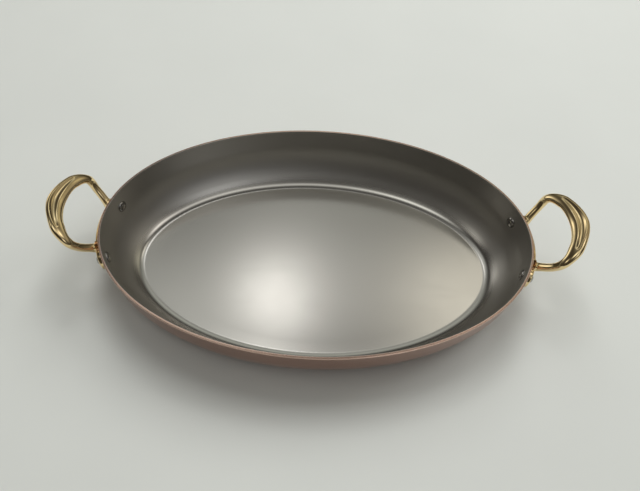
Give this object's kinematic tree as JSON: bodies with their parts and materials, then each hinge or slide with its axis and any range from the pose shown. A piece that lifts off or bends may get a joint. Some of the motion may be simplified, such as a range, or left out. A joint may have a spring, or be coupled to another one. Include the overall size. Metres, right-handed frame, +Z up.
{
  "type": "oval gratin pan",
  "caption": "Oval gratin pan with a polished copper outside, a brushed steel lining and a cast bronze loop handle riveted on at each end.",
  "frame": {"origin": "centre of the flat underside of the base, on the surface that the pan stands on", "axes": "+X along the pan's length, towards the right-hand handle as pictured; +Y across the pan, away from the viewer; +Z up out of the pan"},
  "size_m": [0.4242, 0.2298, 0.0754],
  "materials": {
    "copper": "copper, polished outside and on the lip",
    "lining_steel": "stainless steel with a fine satin finish",
    "bronze": "cast bronze, polished all over",
    "rivet_steel": "stainless steel, smooth and fairly shiny"
  },
  "bodies": {
    "root": {"copper_shell": "copper", "steel_lining": "lining_steel", "handle_right": "bronze", "handle_left": "bronze", "rivet_right_back": "rivet_steel", "rivet_right_front": "rivet_steel", "rivet_left_front": "rivet_steel", "rivet_left_back": "rivet_steel"}
  },
  "joints": []
}
